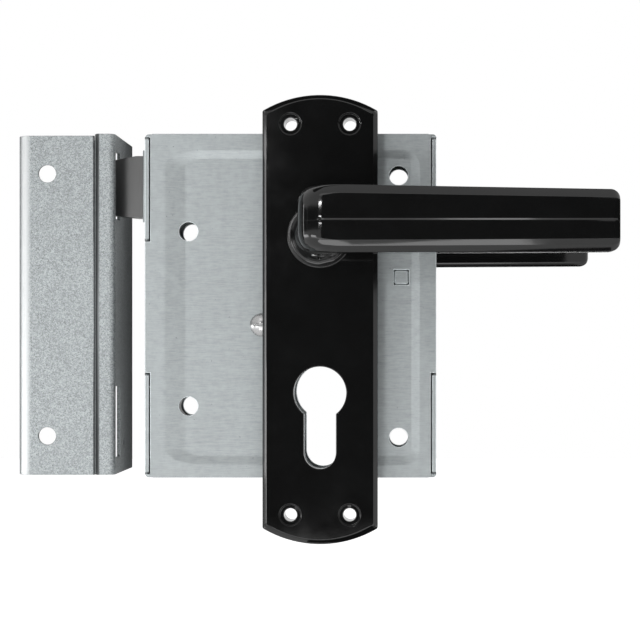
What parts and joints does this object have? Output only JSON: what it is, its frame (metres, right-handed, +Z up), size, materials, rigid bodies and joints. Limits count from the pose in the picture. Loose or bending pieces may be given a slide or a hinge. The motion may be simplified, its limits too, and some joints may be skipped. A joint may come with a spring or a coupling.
{
  "type": "rim lock",
  "caption": "Surface-mounted rim lock with sheet steel case, long plate, lever handles, latch, deadbolt and a separate folded box keep.",
  "frame": {"origin": "middle of the case's back face, which lies on the door", "axes": "+X towards the lever tips, +Z up, +Y into the door"},
  "size_m": [0.2022, 0.1084, 0.152],
  "materials": {
    "zinc_case": "matte zinc plate",
    "zinc_keep": "spangled galvanised sheet",
    "bolt_steel": "satin",
    "bright_steel": "bright",
    "spring_steel": "satin",
    "black_gloss": "gloss black enamel",
    "black_bush": "gloss"
  },
  "bodies": {
    "lock": {"case_body": "zinc_case", "case_cover": "zinc_case", "guide_post": "bright_steel", "cover_screw": "bright_steel", "tumbler_post": "bright_steel", "tumbler_spring": "spring_steel", "tumbler_spring_rivet": "bright_steel", "latch_spring": "spring_steel", "spring_stop": "zinc_case", "front_plate": "black_gloss", "front_bush": "black_bush", "rear_rose": "black_gloss", "rear_bush": "black_bush", "keep_face": "zinc_keep", "keep_strike": "zinc_keep"},
    "lever_set": {"front_lever": "black_gloss", "rear_lever": "black_gloss", "spindle": "bright_steel", "follower": "bright_steel", "front_ring": "spring_steel", "rear_ring": "spring_steel", "front_grub_screw": "bright_steel", "rear_grub_screw": "bright_steel"},
    "latch": {"latch_head": "bolt_steel", "latch_tail": "bright_steel", "latch_rivets": "bright_steel", "latch_rod": "bright_steel"},
    "deadbolt": {"deadbolt_head": "bolt_steel", "deadbolt_tail": "bright_steel", "deadbolt_rivets": "bright_steel"},
    "tumbler_plate": {"tumbler": "bright_steel"}
  },
  "joints": [
    {"name": "lever_turn", "type": "hinge", "parent": "lock", "child": "lever_set", "pos_m": [0.0106, 0, 0.0234], "axis": [0, 1, 0], "range_deg": [0, 40], "stiffness_Nm_per_rad": 0.8, "springref_deg": -20.05},
    {"name": "latch_slide", "type": "slide", "parent": "lock", "child": "latch", "axis": [1, 0, 0], "range_m": [0, 0.0126], "stiffness_N_per_m": 300, "springref_m": -0.01, "deforming": ["latch_spring"]},
    {"name": "deadbolt_slide", "type": "slide", "parent": "lock", "child": "deadbolt", "axis": [-1, 0, 0], "range_m": [0, 0.02]},
    {"name": "tumbler_swing", "type": "hinge", "parent": "lock", "child": "tumbler_plate", "pos_m": [0.038, 0, 0.0098], "axis": [0, 1, 0], "range_deg": [-4.5, 4], "stiffness_Nm_per_rad": 0.05, "springref_deg": -20.05, "deforming": ["tumbler_spring"]}
  ],
  "couplings": [
    {"joint": "latch_slide", "follows": "lever_turn", "m_per_rad": 0.018}
  ]
}
